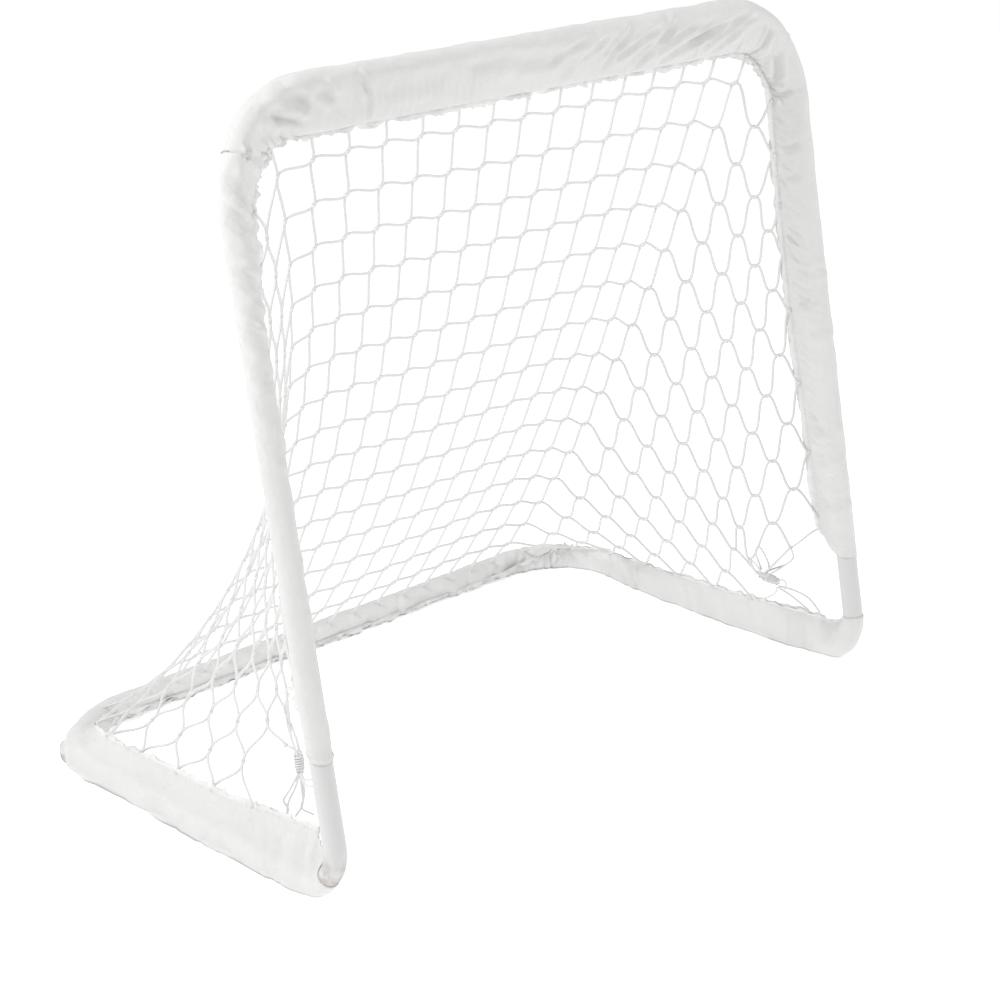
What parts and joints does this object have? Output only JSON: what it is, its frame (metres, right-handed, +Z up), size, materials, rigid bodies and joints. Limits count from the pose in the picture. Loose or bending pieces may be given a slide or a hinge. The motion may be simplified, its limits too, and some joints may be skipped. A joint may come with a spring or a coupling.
{
  "type": "hockey goal net",
  "caption": "Portable hockey goal: a leaning bent-tube hoop on a U-shaped base, covered by loose fabric sleeves, with a knotted net drawn in behind the open mouth.",
  "frame": {"origin": "on the floor, in the middle of the object's outline", "axes": "+X along the crossbar, +Y from the open mouth to the back bar, +Z up"},
  "size_m": [0.937, 0.5632, 0.8534],
  "materials": {
    "tube_paint": "white powder coat, scuffed and greyed at the bare elbows",
    "spring_steel": "plated spring steel",
    "sleeve_cloth": "loose white woven polyester, wrinkled, with sewn hems",
    "net_twine": "white knotted twine"
  },
  "bodies": {
    "frame": {"hoop_tube_left": "tube_paint", "hoop_tube_right": "tube_paint", "base_tube_left": "tube_paint", "base_tube_right": "tube_paint", "button_spring_crossbar": "spring_steel", "button_spring_back": "spring_steel", "button_spring_post_left": "spring_steel", "button_spring_post_right": "spring_steel", "sleeve_crossbar": "sleeve_cloth", "sleeve_back_bar": "sleeve_cloth", "sleeve_post_left": "sleeve_cloth", "sleeve_post_right": "sleeve_cloth", "sleeve_leg_left": "sleeve_cloth", "sleeve_leg_right": "sleeve_cloth", "net_back_upper": "net_twine", "net_back_lower": "net_twine", "net_post_left": "net_twine", "net_post_right": "net_twine", "net_leg_left": "net_twine", "net_leg_right": "net_twine", "net_rear_left": "net_twine", "net_rear_right": "net_twine", "corner_tie_left": "net_twine", "corner_tie_right": "net_twine"},
    "button_crossbar": {"snap_button_crossbar": "spring_steel", "button_arm_crossbar": "spring_steel"},
    "button_back": {"snap_button_back": "spring_steel", "button_arm_back": "spring_steel"},
    "button_post_left": {"snap_button_post_left": "spring_steel", "button_arm_post_left": "spring_steel"},
    "button_post_right": {"snap_button_post_right": "spring_steel", "button_arm_post_right": "spring_steel"}
  },
  "joints": [
    {"name": "press_crossbar", "type": "hinge", "parent": "frame", "child": "button_crossbar", "pos_m": [-0.023, -0.11273, 0.83089], "axis": [0, 0.9664, 0.2572], "range_deg": [0, 7.5], "stiffness_Nm_per_rad": 1, "springref_deg": -5.73},
    {"name": "press_back", "type": "hinge", "parent": "frame", "child": "button_back", "pos_m": [-0.023, 0.26238, 0.02114], "axis": [0, -0.8071, -0.5904], "range_deg": [0, 7.5], "stiffness_Nm_per_rad": 1, "springref_deg": -5.73},
    {"name": "press_post_left", "type": "hinge", "parent": "frame", "child": "button_post_left", "pos_m": [-0.43791, -0.2346, 0.20734], "axis": [0.6428, -0.7514, 0.149], "range_deg": [0, 7.5], "stiffness_Nm_per_rad": 1, "springref_deg": -5.73},
    {"name": "press_post_right", "type": "hinge", "parent": "frame", "child": "button_post_right", "pos_m": [0.43791, -0.2346, 0.20734], "axis": [0.6428, 0.7514, -0.149], "range_deg": [0, 7.5], "stiffness_Nm_per_rad": 1, "springref_deg": -5.73}
  ]
}
